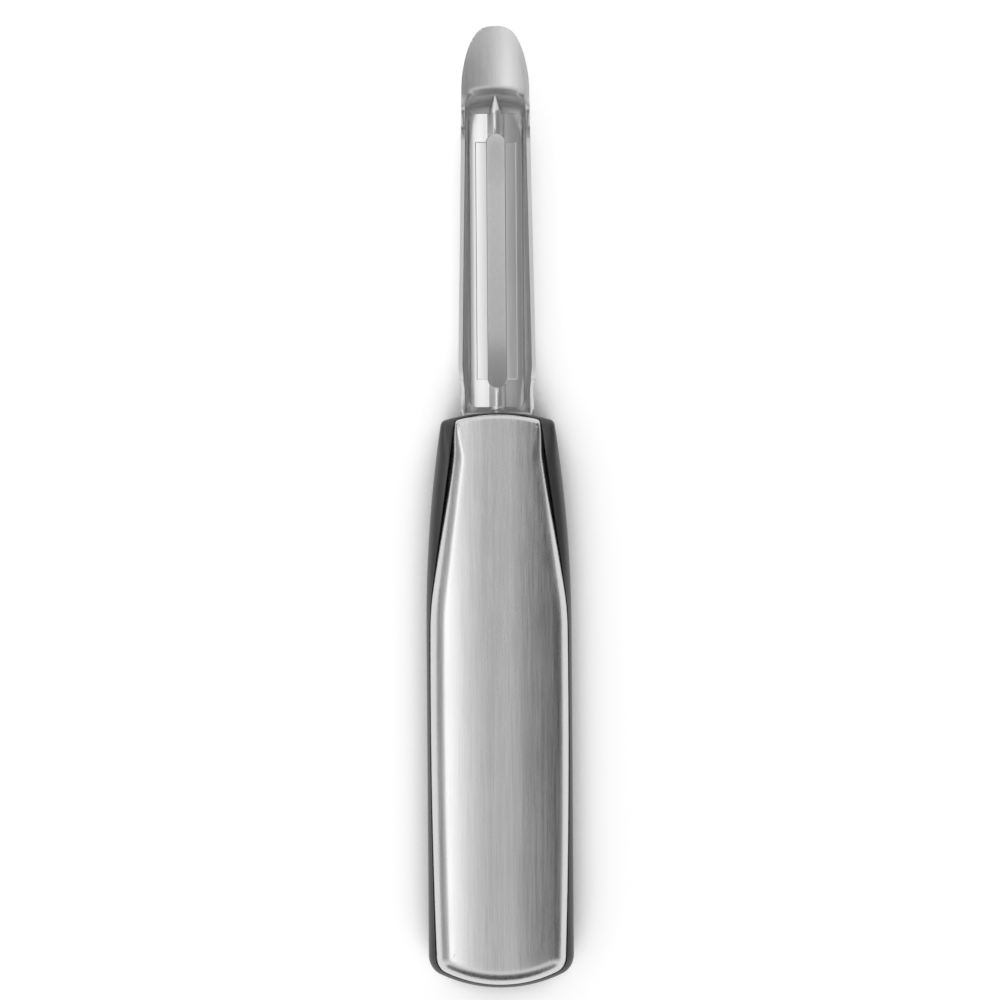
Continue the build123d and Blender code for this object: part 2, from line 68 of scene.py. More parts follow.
def grid_quads(rows, columns, close_rows=False, close_columns=False, start=0):
    """Corner numbers of the quads of a grid whose point (row, column) is start + row * columns + column."""
    row = np.arange(rows if close_rows else rows - 1)
    column = np.arange(columns if close_columns else columns - 1)
    row, column = np.meshgrid(row, column, indexing="ij")
    below, beside = (row + 1) % rows, (column + 1) % columns
    corners = [
        row * columns + column, below * columns + column,
        below * columns + beside, row * columns + beside,
    ]
    return np.stack(corners, axis=-1).reshape(-1, 4) + start


def weld(points, quads):
    """Joins points that coincide. Returns the points, the whole quads and the triangles that are left."""
    keys = np.round(points / WELD).astype(np.int64)
    _, first, back = np.unique(keys, axis=0, return_index=True, return_inverse=True)
    quads = back.reshape(-1)[quads]
    same = quads == np.roll(quads, -1, axis=1)
    whole = quads[~same.any(axis=1)]
    reduced = quads[same.sum(axis=1) == 1]
    triangles = reduced[~same[same.sum(axis=1) == 1]].reshape(-1, 3)
    return points[first], whole, triangles


def signed_volume(points, triangles):
    """Volume inside closed triangles: a sixth of the sum of the triple products of their corners."""
    a, b, c = (points[triangles[:, k]] for k in range(3))
    return np.einsum("ij,ij->i", a, np.cross(b, c)).sum() / 6


def turned_outward(points, quads):
    """A closed surface as welded points and faces, all turned over if its volume is negative.

    It looks outwards after this only if its faces were wound alike before.
    """
    points, quads, triangles = weld(points, quads)
    halves = np.concatenate([quads[:, [0, 1, 2]], quads[:, [0, 2, 3]], triangles])
    volume = signed_volume(points, halves)
    if volume < 0:
        quads, triangles = quads[:, ::-1], triangles[:, ::-1]
    return points, quads.tolist() + triangles.tolist(), abs(volume)


def make_piece(name, parts, body, material, replaced=(), edge=0.0):
    points, faces, volume = [], [], 0
    for part_points, part_quads in parts:
        part_points, part_faces, part_volume = turned_outward(part_points, part_quads)
        faces += [[corner + len(points) for corner in face] for face in part_faces]
        points += part_points.tolist()
        volume += part_volume
    mesh = bpy.data.meshes.new(name)
    mesh.from_pydata(points, [], faces)
    mesh.validate()
    print(name, round(volume / MM**3), "mm3")
    return dress(name, mesh, body, material, replaced, edge)


def dress(name, mesh, body, material, replaced=(), edge=0.0):
    mesh.shade_smooth()
    mesh.materials.clear()
    mesh.materials.append(material)
    piece = bpy.data.objects.new(name, mesh)
    bpy.context.scene.collection.objects.link(piece)
    if edge:
        rounding = piece.modifiers.new("rounded_edges", "BEVEL")
        rounding.width = edge
        rounding.segments = EDGE_SEGMENTS
        rounding.limit_method = "ANGLE"
        rounding.angle_limit = SHARP_ANGLE
        rounding.use_clamp_overlap = False
        rounding.harden_normals = True
    else:
        mesh.set_sharp_from_angle(angle=SHARP_ANGLE)
    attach(piece, body)
    if replaced:
        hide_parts(*replaced)
    print(name, len(mesh.polygons), "faces")
    return piece


# %% [markdown]
# ## Outlines
#
# The covers and the grip follow outlines of straight lines and wide arcs with rounded corners. Each
# stretch is sampled densely, a corner is replaced by a cubic curve that leaves and meets its two
# stretches along their own directions, and the whole is then sampled again, closer where it turns.

# %% Outline helpers
STRETCH_SAMPLES = 400
CORNER_SAMPLES = 60


def chord_arc(start, end, sagitta):
    """Circular arc from start to end that stands sagitta proud of its chord, on the left of its direction."""
    start, end = np.array(start, float), np.array(end, float)
    chord = end - start
    half = np.linalg.norm(chord) / 2
    left = np.array([-chord[1], chord[0]]) / (2 * half)
    share = np.linspace(-1, 1, STRETCH_SAMPLES)
    if abs(sagitta) < WELD:
        return start + chord * (share[:, None] + 1) / 2
    radius = (half**2 + sagitta**2) / (2 * sagitta)
    angle = share * math.asin(half / radius)
    along = (radius * np.sin(angle) + half) / (2 * half)
    proud = radius * np.cos(angle) - radius + sagitta
    return start + along[:, None] * chord + proud[:, None] * left


def lengths(path):
    """Distance along a path of points, from its start."""
    steps = np.linalg.norm(np.diff(path, axis=0), axis=1)
    return np.concatenate([[0], np.cumsum(steps)])


def along_path(path, distance):
    """Points at given distances along a path."""
    run = lengths(path)
    return np.stack([np.interp(distance, run, path[:, k]) for k in range(path.shape[1])], axis=-1)


def join_rounded(stretches, radii):
    """Joins stretches end to start, each corner rounded to its radius by a cubic curve."""
    path = stretches[0]
    for stretch, radius in zip(stretches[1:], radii):
        if radius == 0:
            path = np.concatenate([path, stretch[1:]])
            continue
        arrive = path[-1] - path[-2]
        leave = stretch[1] - stretch[0]
        turn = abs(math.atan2(arrive[0] * leave[1] - arrive[1] * leave[0], arrive @ leave))
        reach = radius * math.tan(turn / 2)
        total = lengths(path)[-1]
        kept = along_path(path, np.linspace(0, total - reach, len(path)))
        rest = along_path(stretch, np.linspace(reach, lengths(stretch)[-1], len(stretch)))
        handle = radius * math.tan(turn / 4) * 4 / 3
        first, last = kept[-1], rest[0]
        inward = first + handle * (first - kept[-2]) / np.linalg.norm(first - kept[-2])
        outward = last - handle * (rest[1] - last) / np.linalg.norm(rest[1] - last)
        t = np.linspace(0, 1, CORNER_SAMPLES)[:, None]
        corner = (
            (1 - t) ** 3 * first + 3 * (1 - t) ** 2 * t * inward
            + 3 * (1 - t) * t**2 * outward + t**3 * last
        )
        path = np.concatenate([kept, corner[1:-1], rest])
    return path


def resample(path, step, step_angle):
    """Spreads points over a path by its length over step plus its turning over step_angle."""
    run = lengths(path)
    direction = np.unwrap(np.arctan2(*np.diff(path, axis=0).T[::-1]))
    turning = np.concatenate([[0], np.cumsum(np.abs(np.diff(direction))), [0]])
    turning[-1] = turning[-2]
    measure = run / step + turning / step_angle
    count = int(round(measure[-1])) + 1
    return along_path(path, np.interp(np.linspace(0, measure[-1], count), measure, run))


def inward_normals(path):
    """Unit vectors on the right of the path's direction, level across its mirror line at both ends."""
    direction = np.gradient(path, axis=0)
    direction[0] = (1, 0)
    direction[-1] = (-1, 0)
    direction /= np.linalg.norm(direction, axis=1, keepdims=True)
    return np.stack([direction[:, 1], -direction[:, 0]], axis=-1)


# %% [markdown]
# ## The covers' crowned face
#
# A cover is drawn from one sheet: level along the middle, falling a little to both ends and round to
# the sides, with a rolled edge that turns down into an upright flank. The outline is walked from the
# middle of the front to the middle of the butt, and at each point a rib runs up the flank, round the
# roll and over the crown to the middle of the cover. The mirrored ribs close the other half, and the
# same surface drawn in by the sheet's thickness makes its inside.

# %% Sizes of the handle
MID_Z = 9.5 * MM
LEDGE_Z = MID_Z + 4.0 * MM
COVER_SHEET = 0.6 * MM
COLLAR_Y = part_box("soft_grip")[1].y
BUTT_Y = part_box("soft_grip")[0].y
TOP_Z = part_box("front_cover")[1].z
COVER_FRONT_Y = COLLAR_Y - 0.45 * MM
COVER_BUTT_Y = BUTT_Y + 0.7 * MM
COVER_HALF = 13.5 * MM
COVER_FRONT_HALF = 8.4 * MM
COVER_BUTT_HALF = 12.75 * MM
COVER_FRONT_SAG = 1.15 * MM
COVER_CORNER = 1.0 * MM
COVER_FLARE_LENGTH = 37.2 * MM
COVER_FLARE_RADIUS = 60 * MM
COVER_BUTT_ARC = 25.5 * MM
COVER_BUTT_CORNER = 3.6 * MM
CROWN_STRIP = 5.0 * MM
CROWN_RADIUS = 36.0 * MM
CROWN_FRONT_SLOPE = 1.5 / 43.4
CROWN_BUTT_SLOPE = 0.5 / 12.3
CROWN_BEND_Y = COLLAR_Y - 42.4 * MM
CROWN_BUTT_Y = CROWN_BEND_Y - 60 * MM
CROWN_EASE = 9.0 * MM
FLANK_ROLL = 2.9 * MM
FRONT_ROLL = 0.9 * MM
ROLL_GROWTH = 7.0 * MM

# %% Cover surface


def eased_ramp(distance, ease):
    """Zero before a bend, the distance after it, and a parabola over the ease on both sides of it."""
    inside = np.clip(distance + ease, 0, 2 * ease)
    return np.maximum(distance - ease, 0) + inside**2 / (4 * ease)


def crown_height(x, y):
    """Height of the crowned face over a place of the plan."""
    fall = CROWN_FRONT_SLOPE * eased_ramp(y - CROWN_BEND_Y, CROWN_EASE)
    fall = fall + CROWN_BUTT_SLOPE * eased_ramp(CROWN_BUTT_Y - y, CROWN_EASE)
    out = np.maximum(np.abs(x) - CROWN_STRIP / 2, 0)
    return TOP_Z - fall - (CROWN_RADIUS - np.sqrt(CROWN_RADIUS**2 - out**2))


def cover_outline():
    """Right half of a cover's outline, from the middle of its front to the middle of its butt."""
    corner_y = COVER_FRONT_Y - COVER_FRONT_SAG
    flare_y = corner_y - COVER_FLARE_LENGTH
    butt_y = COVER_BUTT_Y + COVER_BUTT_ARC - math.sqrt(COVER_BUTT_ARC**2 - COVER_BUTT_HALF**2)
    front = chord_arc((-COVER_FRONT_HALF, corner_y), (COVER_FRONT_HALF, corner_y), COVER_FRONT_SAG)
    flare = chord_arc((COVER_FRONT_HALF, corner_y), (COVER_HALF, flare_y), 0)
    bulge = (COVER_HALF - COVER_BUTT_HALF) / 2
    side = chord_arc((COVER_HALF, flare_y), (COVER_BUTT_HALF, butt_y), bulge)
    butt = chord_arc((COVER_BUTT_HALF, butt_y), (-COVER_BUTT_HALF, butt_y), butt_y - COVER_BUTT_Y)
    middle = len(front) // 2
    front = np.concatenate([[(0, COVER_FRONT_Y)], front[middle:]])
    butt = np.concatenate([butt[:middle], [(0, COVER_BUTT_Y)]])
    return join_rounded([front, flare, side, butt], [COVER_CORNER, COVER_FLARE_RADIUS, COVER_BUTT_CORNER])


def pillow_grid(outline, inset):
    """Grid of ribs over a cover: rows run from the right flank's foot over the crown to the left one's."""
    inward = inward_normals(outline)
    run = lengths(outline)
    from_corner = np.abs(outline[:, 0] - COVER_FRONT_HALF) + np.abs(outline[:, 1] - COVER_FRONT_Y)
    front_run = run[np.argmin(from_corner)]
    grown = np.clip((run - front_run - COVER_CORNER) / ROLL_GROWTH, 0, 1)
    roll = FRONT_ROLL + (FLANK_ROLL - FRONT_ROLL) * grown**2 * (3 - 2 * grown) - inset
    foot = outline + inward * inset
    angle = np.radians(np.linspace(0, 90, 12))
    into = roll * (1 - np.cos(angle))[:, None]
    down = roll * (1 - np.sin(angle))[:, None]
    plan = foot + inward * into[..., None]
    height = crown_height(plan[..., 0], plan[..., 1]) - inset - down
    upright = np.linspace(0, 1, 5)[:-1, None]
    wall = LEDGE_Z + (height[0] - LEDGE_Z) * upright
    walls = np.concatenate([np.broadcast_to(foot, (len(upright), *foot.shape)), wall[..., None]], axis=-1)
    rolled = np.concatenate([plan, height[..., None]], axis=-1)
    spine_y = np.linspace(COVER_FRONT_Y - FLANK_ROLL * 3, COVER_BUTT_Y + FLANK_ROLL * 4, len(outline))
    spine = np.stack([np.zeros(len(outline)), spine_y], axis=-1)
    share = np.linspace(0, 1, 16)[1:, None, None]
    over = plan[-1] + (spine - plan[-1]) * share
    crown = np.concatenate([over, crown_height(over[..., 0], over[..., 1])[..., None] - inset], axis=-1)
    right = np.concatenate([walls, rolled, crown])
    left = right[-2::-1] * (-1, 1, 1)
    return np.concatenate([right, left])


def cover_shell():
    """Shell of the front cover: outside, inside and the rim between their feet.

    Known fault: the rim is wound against both faces, and the bevel opens the mesh along it.
    """
    outline = resample(cover_outline(), 1.3 * MM, math.radians(5))
    outside, inside = pillow_grid(outline, 0), pillow_grid(outline, COVER_SHEET)
    rows, columns = outside.shape[:2]
    count = rows * columns
    outer_foot = np.concatenate([np.arange(columns), count - 1 - np.arange(columns)])
    start, end = outer_foot[:-1], outer_foot[1:]
    rim = np.stack([start, end, end + count, start + count], axis=-1)
    rim = np.delete(rim, columns - 1, axis=0)
    quads = [grid_quads(rows, columns), grid_quads(rows, columns, start=count)[:, ::-1], rim[:, ::-1]]
    return np.concatenate([outside.reshape(-1, 3), inside.reshape(-1, 3)]), np.concatenate(quads)


# %% [markdown]
# ## The soft grip
#
# The grip is a closed band round the handle. Its outline is walked all the way round, and at each
# point a closed section is drawn: up the face that touches the core, out along the ledge under the
# cover's edge, up the lip beside the cover, over the rounded shoulder, down the outside, and the same
# below. At the head of the handle the blade frame passes through the band, so a rectangle of the grid
# is left out there, outside and inside, and a tunnel of rings joins the two openings.

# %% Grip surface
GRIP_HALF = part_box("soft_grip")[1].x
SHOULDER_HALF = 11.15 * MM
SHOULDER_DROP = 1.7 * MM
SHOULDER_CORNER = 1.3 * MM
GRIP_FLARE_LENGTH = 40.7 * MM
BUTT_ARC = 28.0 * MM
BUTT_CORNER = 4.6 * MM
GRIP_WALL = 1.65 * MM
GRIP_COLLAR_HALF = 6.8 * MM
GRIP_SIDE_HALF = 5.5 * MM
GRIP_EASE_START = COLLAR_Y - 12 * MM
GRIP_EASE_END = GRIP_EASE_START - 24 * MM
GRIP_ROLL = 3.2 * MM
NOSE_ROLL = 1.25 * MM
LEDGE_HALF = LEDGE_Z - MID_Z
COVER_GAP = 0.12 * MM
LIP_ROUND = 0.2 * MM
WALL_ROWS = 12
CORNER_FAN = 2.0 * MM
TUNNEL_HALF = 7.25 * MM
TUNNEL_MARGIN = 0.9 * MM
TUNNEL_LOW = 5.52 * MM
TUNNEL_HIGH = 13.4 * MM
TUNNEL_CORNER = 2.45 * MM


def handle_outline():
    """Right half of the handle's outline, from the middle of its front to the middle of its butt."""
    shoulder_y = COLLAR_Y - SHOULDER_DROP
    flare_y = shoulder_y - GRIP_FLARE_LENGTH
    butt_y = BUTT_Y + BUTT_ARC - math.sqrt(BUTT_ARC**2 - GRIP_HALF**2)
    front = chord_arc((-SHOULDER_HALF, shoulder_y), (SHOULDER_HALF, shoulder_y), SHOULDER_DROP)
    spread = GRIP_HALF - SHOULDER_HALF
    flare_radius = (spread**2 + GRIP_FLARE_LENGTH**2) / (2 * spread)
    angle = np.linspace(math.asin(GRIP_FLARE_LENGTH / flare_radius), 0, STRETCH_SAMPLES)
    flare = np.stack(
        [GRIP_HALF - flare_radius * (1 - np.cos(angle)), flare_y + flare_radius * np.sin(angle)], axis=-1
    )
    side = chord_arc((GRIP_HALF, flare_y), (GRIP_HALF, butt_y), 0)
    butt = chord_arc((GRIP_HALF, butt_y), (-GRIP_HALF, butt_y), butt_y - BUTT_Y)
    middle = len(front) // 2
    front = np.concatenate([[(0, COLLAR_Y)], front[middle:]])
    butt = np.concatenate([butt[:middle], [(0, BUTT_Y)]])
    return join_rounded([front, flare, side, butt], [SHOULDER_CORNER, 0, BUTT_CORNER])


def reach_of(points, inward, target):
    """Distance from each point along its inward vector to where it crosses a closed path."""
    start, step = target, np.roll(target, -1, axis=0) - target
    gap = start[None] - points[:, None]
    cross = inward[:, None, 0] * step[None, :, 1] - inward[:, None, 1] * step[None, :, 0]
    cross = np.where(np.abs(cross) < 1e-15, 1e-15, cross)
    distance = (gap[..., 0] * step[None, :, 1] - gap[..., 1] * step[None, :, 0]) / cross
    place = (gap[..., 0] * inward[:, None, 1] - gap[..., 1] * inward[:, None, 0]) / cross
    return np.where((place >= 0) & (place <= 1) & (distance > 0), distance, np.inf).min(axis=1)


def fanned(path, vectors, spread):
    """Unit vectors along a path, each the mean of the others weighted by a bell of their distance."""
    along = lengths(path)
    weight = np.exp(-(((along[:, None] - along) / spread) ** 2) / 2) * np.gradient(along)
    mean = weight @ vectors
    mean[[0, -1], 0] = 0
    return mean / np.linalg.norm(mean, axis=1, keepdims=True)


def mirrored_loop(half):
    """Closed outline that starts and ends at the butt and passes the middle of the front half way."""
    return np.concatenate([half[::-1] * (-1, 1), half[1:-1]])


def grip_sections(outline, inward, lip):
    """Distances in from the outline, and heights over the middle, of a closed section at each column."""
    y = outline[:, 1]
    ease = np.clip((y - GRIP_EASE_END) / (GRIP_EASE_START - GRIP_EASE_END), 0, 1)
    half_height = GRIP_SIDE_HALF + (GRIP_COLLAR_HALF - GRIP_SIDE_HALF) * ease**2 * (3 - 2 * ease)
    behind = np.clip((COLLAR_Y - SHOULDER_DROP - SHOULDER_CORNER - y) / ROLL_GROWTH, 0, 1)
    roll = NOSE_ROLL + (GRIP_ROLL - NOSE_ROLL) * behind**2 * (3 - 2 * behind)

    def top(inset):
        rest = roll - np.minimum(inset, roll)
        return half_height - roll + np.sqrt(roll**2 - rest**2)

    turn = np.radians(np.linspace(0, 90, 4))[:, None]
    round_in = lip - LIP_ROUND * (1 - np.cos(turn))
    round_up = top(lip) - LIP_ROUND + LIP_ROUND * np.sin(turn)
    round_up[-1] = top(lip - LIP_ROUND)
    sweep = np.radians(np.linspace(0, 90, 11))[1:, None]
    over_in = (lip - LIP_ROUND) * (1 - np.sin(sweep))
    ledge_in = np.stack([np.full(len(y), GRIP_WALL), lip])
    ledge_up = np.full((2, len(y)), LEDGE_HALF)
    upper_in = np.concatenate([ledge_in, round_in, over_in])
    upper_up = np.concatenate([ledge_up, round_up, top(over_in)])
    share = np.linspace(1, -1, WALL_ROWS + 1)[1:-1, None]
    wall_up = share * upper_up[-1]
    core_up = np.linspace(-LEDGE_HALF, LEDGE_HALF, WALL_ROWS - 1)[:-1, None] + np.zeros(len(y))
    into = [np.full(core_up.shape, GRIP_WALL), upper_in, np.zeros(wall_up.shape), upper_in[:0:-1]]
    up = [core_up, upper_up, wall_up, -upper_up[:0:-1]]
    outer_row = len(core_up) + len(upper_in)
    return np.concatenate(into), np.concatenate(up), outer_row


def tunnel_rim(across, height, bottom, top, half_width, corner):
    """Moves points of a square, from -1 to 1, onto the rim of the tunnel with its two lower corners round."""
    x = across * half_width
    z = bottom + (height + 1) / 2 * (top - bottom)
    centre_x = np.sign(x) * (half_width - corner)
    centre_z = bottom + corner
    out_x, out_z = x - centre_x, z - centre_z
    in_corner = (np.abs(x) > half_width - corner) & (z < centre_z)
    reach = np.where(in_corner, np.hypot(out_x, out_z), 1)
    x = np.where(in_corner, centre_x + corner * out_x / reach, x)
    z = np.where(in_corner, centre_z + corner * out_z / reach, z)
    return x, z


def grip_shell():
    """Closed band with a tunnel through its front: section rows by outline columns."""
    half = resample(handle_outline(), 1.0 * MM, math.radians(6))
    outline = mirrored_loop(half)
    inward = mirrored_loop(fanned(half, inward_normals(half), CORNER_FAN))
    cover = resample(cover_outline(), 1.0 * MM, math.radians(6))
    lip = reach_of(outline, inward, mirrored_loop(cover - inward_normals(cover) * COVER_GAP))
    into, up, outer_row = grip_sections(outline, inward, lip)
    plan = outline + inward * into[..., None]
    points = np.concatenate([plan, (MID_Z + up)[..., None]], axis=-1)
    rows, columns = points.shape[:2]
    front = len(half) - 1
    reach = int(np.argmax(half[:, 0] > TUNNEL_HALF + TUNNEL_MARGIN))
    left, right = front - reach, front + reach
    core_top = WALL_ROWS - 2
    keep = np.ones((rows, columns), bool)
    keep[outer_row : outer_row + core_top, left:right] = False
    keep[:core_top, left:right] = False
    band = grid_quads(rows, columns, True, True)[keep.reshape(-1)]
    across = np.arange(left, right)
    down = np.arange(core_top)
    loop_rows = np.concatenate([across * 0, down, across * 0 + core_top, core_top - down])
    loop_columns = np.concatenate([across, down * 0 + right, across[::-1] + 1, down * 0 + left])
    outer_loop = points[outer_row + loop_rows, loop_columns]
    core_loop = points[core_top - loop_rows, loop_columns]
    square_x = (loop_columns - front) / reach
    square_z = 1 - 2 * loop_rows / core_top
    rim_x, rim_z = tunnel_rim(square_x, square_z, TUNNEL_LOW, TUNNEL_HIGH, TUNNEL_HALF, TUNNEL_CORNER)
    mouth_y = np.interp(rim_x, outline[left : right + 1, 0], outline[left : right + 1, 1])
    mouth = np.stack([rim_x, mouth_y, rim_z], axis=-1)
    end_y = np.interp(rim_x, plan[0, left : right + 1, 0], plan[0, left : right + 1, 1])
    end = np.stack([rim_x, end_y, rim_z], axis=-1)
    face = outer_loop + (mouth - outer_loop) * np.array([0, 0.4, 0.75, 1])[:, None, None]
    bore = mouth + (end - mouth) * np.array([1 / 3, 2 / 3, 1])[:, None, None]
    rings = np.concatenate([face, bore, core_loop[None]])
    tunnel = grid_quads(*rings.shape[:2], False, True, start=rows * columns)
    every = np.concatenate([points.reshape(-1, 3), rings.reshape(-1, 3)])
    return every, np.concatenate([band, tunnel])


# %% [markdown]
# ## Sheet metal with an opening
#
# The blade is pressed from sheet, is the same on both sides and has a long opening in the middle. The
# right half is a grid whose first column follows the opening and falls on the middle plane where there
# is none, so that the mirrored half joins it there. The sheet's other face is the same grid set off by
# its thickness, and narrow strips close the edges. A lathed body makes each pivot.

# %% Sheet helpers


def smooth(value):
    """Step from 0 to 1 with level ends."""
    value = np.clip(value, 0, 1)
    return value**2 * (3 - 2 * value)


def split_sheet(top, under):
    """Closed sheet of two mirrored halves, joined wherever their first columns lie on the middle plane."""
    rows, columns = top.shape[:2]
    count = rows * columns
    number = np.arange(count).reshape(rows, columns)

    def strip(line, turned):
        quads = np.stack([line[:-1], line[1:], line[1:] + count, line[:-1] + count], axis=-1)
        return quads[:, ::-1] if turned else quads

    apart = np.abs(top[:, 0, 0]) > WELD
    opening = strip(number[:, 0], True)[apart[:-1] | apart[1:]]
    faces = [grid_quads(rows, columns), grid_quads(rows, columns, start=count)[:, ::-1]]
    edges = [strip(number[:, -1], False), opening, strip(number[0], False), strip(number[-1], True)]
    half = np.concatenate(faces + edges)
    points = np.concatenate([top.reshape(-1, 3), under.reshape(-1, 3)])
    return np.concatenate([points, points * (-1, 1, 1)]), np.concatenate([half, half[:, ::-1] + 2 * count])


def lathe(profile, axis_z, sides=40):
    """Closed body of revolution about a line along Y: profile rows are (y, radius), with 0 at both ends."""
    angle = np.linspace(0, 2 * math.pi, sides, endpoint=False)
    y, radius = np.array(profile).T[:, :, None]
    ring = np.stack(np.broadcast_arrays(radius * np.cos(angle), y, axis_z + radius * np.sin(angle)), axis=-1)
    return ring.reshape(-1, 3), grid_quads(len(profile), sides, False, True)


# %% [markdown]
# ## The swivel blade
#
# The blade is a shallow channel pressed from thin steel. Walking out from its middle, the face first
# follows a wide arc, turns down over a tight shoulder and ends in a short flank that leans in. The slot
# and the two ground bevels beside it do the cutting. At both ends of the slot a rib is pressed up, and
# it runs out into the pivots: a cone with a thin journal in front, a rounded shoulder and a thicker
# journal behind.

# %% Sizes of the blade
PIVOT_Z = 11.35 * MM
BLADE_SHEET = 0.6 * MM
BLADE_TOP_Z = PIVOT_Z + BLADE_SHEET / 2
BLADE_REAR_Y = COLLAR_Y + 1.0 * MM
BLADE_FRONT_Y = BLADE_REAR_Y + 58.1 * MM
BLADE_HALF = 5.45 * MM
BLADE_ARC = 14.0 * MM
BLADE_SHOULDER = 1.4 * MM
FLANK_LEAN = math.radians(16)
FLANK_DEPTH = 3.3 * MM
BLADE_CORNER = 1.4 * MM
FLANK_CORNER = 1.2 * MM
SLOT_HALF = 1.8 * MM
SLOT_REAR_Y = BLADE_REAR_Y + 3.9 * MM
SLOT_FRONT_Y = BLADE_FRONT_Y - 4.0 * MM
BEVEL_HALF = 4.0 * MM
BEVEL_INSET = 1.65 * MM
BEVEL_LIP_DROP = 0.33 * MM
BEVEL_STEP = 0.17 * MM
STEP_RUN = 0.04 * MM
RIB_HALF = 1.65 * MM
RIB_HEIGHT = 1.03 * MM
RIB_FADE = 1.5 * MM
BLADE_COLUMNS = 22
FLANK_COLUMNS = 16

# %% Blade surface
shoulder_turn = math.asin((BLADE_HALF - BLADE_SHOULDER) / (BLADE_ARC - BLADE_SHOULDER))
shoulder_start = BLADE_ARC * shoulder_turn
widest_run = shoulder_start + BLADE_SHOULDER * (math.pi / 2 - shoulder_turn)
flank_start = shoulder_start + BLADE_SHOULDER * (math.pi / 2 + FLANK_LEAN - shoulder_turn)


def blade_section(run):
    """Places and outward normals of the blade's outer face at distances over it from the middle."""
    on_arc = np.clip(run, 0, shoulder_start) / BLADE_ARC
    turned = on_arc + np.clip(run - shoulder_start, 0, flank_start - shoulder_start) / BLADE_SHOULDER
    flank = np.maximum(run - flank_start, 0)
    x = BLADE_ARC * np.sin(on_arc) + BLADE_SHOULDER * (np.sin(turned) - np.sin(on_arc))
    x = x + flank * np.cos(turned)
    drop = BLADE_ARC * (1 - np.cos(on_arc)) + BLADE_SHOULDER * (np.cos(on_arc) - np.cos(turned))
    return x, BLADE_TOP_Z - drop - flank * np.sin(turned), np.sin(turned), np.cos(turned)


def blade_rows():
    """Places along the blade, close together round its corners, the slot's ends and the bevels' steps."""
    quarter = 1 - np.cos(np.radians(np.linspace(0, 90, 12)))
    places = [np.linspace(SLOT_REAR_Y + SLOT_HALF, SLOT_FRONT_Y - SLOT_HALF, 44)]
    for end, slot_end, way in ((BLADE_REAR_Y, SLOT_REAR_Y, 1), (BLADE_FRONT_Y, SLOT_FRONT_Y, -1)):
        corner = np.concatenate([BLADE_CORNER * quarter, BLADE_CORNER + FLANK_CORNER * quarter])
        step = BEVEL_INSET + np.array([0, STEP_RUN])
        places += [end + way * corner, slot_end + way * SLOT_HALF * quarter, slot_end + way * step]
    return np.unique(np.round(np.concatenate(places) / WELD)) * WELD


def blade_sheet():
    """Outer and inner face of the blade's right half: rows along it, columns from the slot to the flank."""
    y = blade_rows()[:, None]
    end = np.minimum(y - BLADE_REAR_Y, BLADE_FRONT_Y - y)
    flank_drop = BLADE_TOP_Z - blade_section(np.array(flank_start))[1]
    full_run = flank_start + (FLANK_DEPTH - flank_drop) / math.cos(FLANK_LEAN)
    table = np.linspace(0, widest_run, 300)
    rest = BLADE_CORNER - np.minimum(end, BLADE_CORNER)
    corner_x = BLADE_HALF - BLADE_CORNER + np.sqrt(np.maximum(BLADE_CORNER**2 - rest**2, 0))
    corner_run = np.interp(corner_x, blade_section(table)[0], table)
    flank_rest = 1 - np.clip((end - BLADE_CORNER) / FLANK_CORNER, 0, 1)
    edge_run = corner_run + (full_run - widest_run) * np.sqrt(1 - flank_rest**2)
    past_slot = np.maximum(SLOT_REAR_Y + SLOT_HALF - y, y - SLOT_FRONT_Y + SLOT_HALF)
    slot_rest = np.maximum(past_slot, 0) / SLOT_HALF
    slot_run = SLOT_HALF * np.sqrt(np.maximum(1 - slot_rest**2, 0))
    slot_run[slot_run < 10 * WELD] = 0
    inner = slot_run + (BEVEL_HALF - slot_run) * np.linspace(0, 1, BLADE_COLUMNS) ** 1.15
    outer_start = BEVEL_HALF + STEP_RUN
    outer = outer_start + (edge_run - outer_start) * np.linspace(0, 1, FLANK_COLUMNS)
    run = np.concatenate([inner, outer], axis=1)
    x, z, out_x, out_z = blade_section(run)
    ground = (y > SLOT_REAR_Y + BEVEL_INSET + STEP_RUN / 2) & (y < SLOT_FRONT_Y - BEVEL_INSET - STEP_RUN / 2)
    slope = (BEVEL_STEP - BEVEL_LIP_DROP) / (BEVEL_HALF - SLOT_HALF)
    drop = np.where(ground & (run <= BEVEL_HALF), BEVEL_LIP_DROP + slope * (run - SLOT_HALF), 0)
    inside_slot = np.minimum(y - SLOT_REAR_Y, SLOT_FRONT_Y - y)
    rib = np.maximum(1 - (x / RIB_HALF) ** 2, 0) ** 1.5 * RIB_HEIGHT * (1 - smooth(inside_slot / RIB_FADE))
    place = np.broadcast_to(y, x.shape)
    top = np.stack([x, place, z - drop + rib], axis=-1)
    under = np.stack([x - BLADE_SHEET * out_x, place, z - BLADE_SHEET * out_z + rib], axis=-1)
    return split_sheet(top, under)


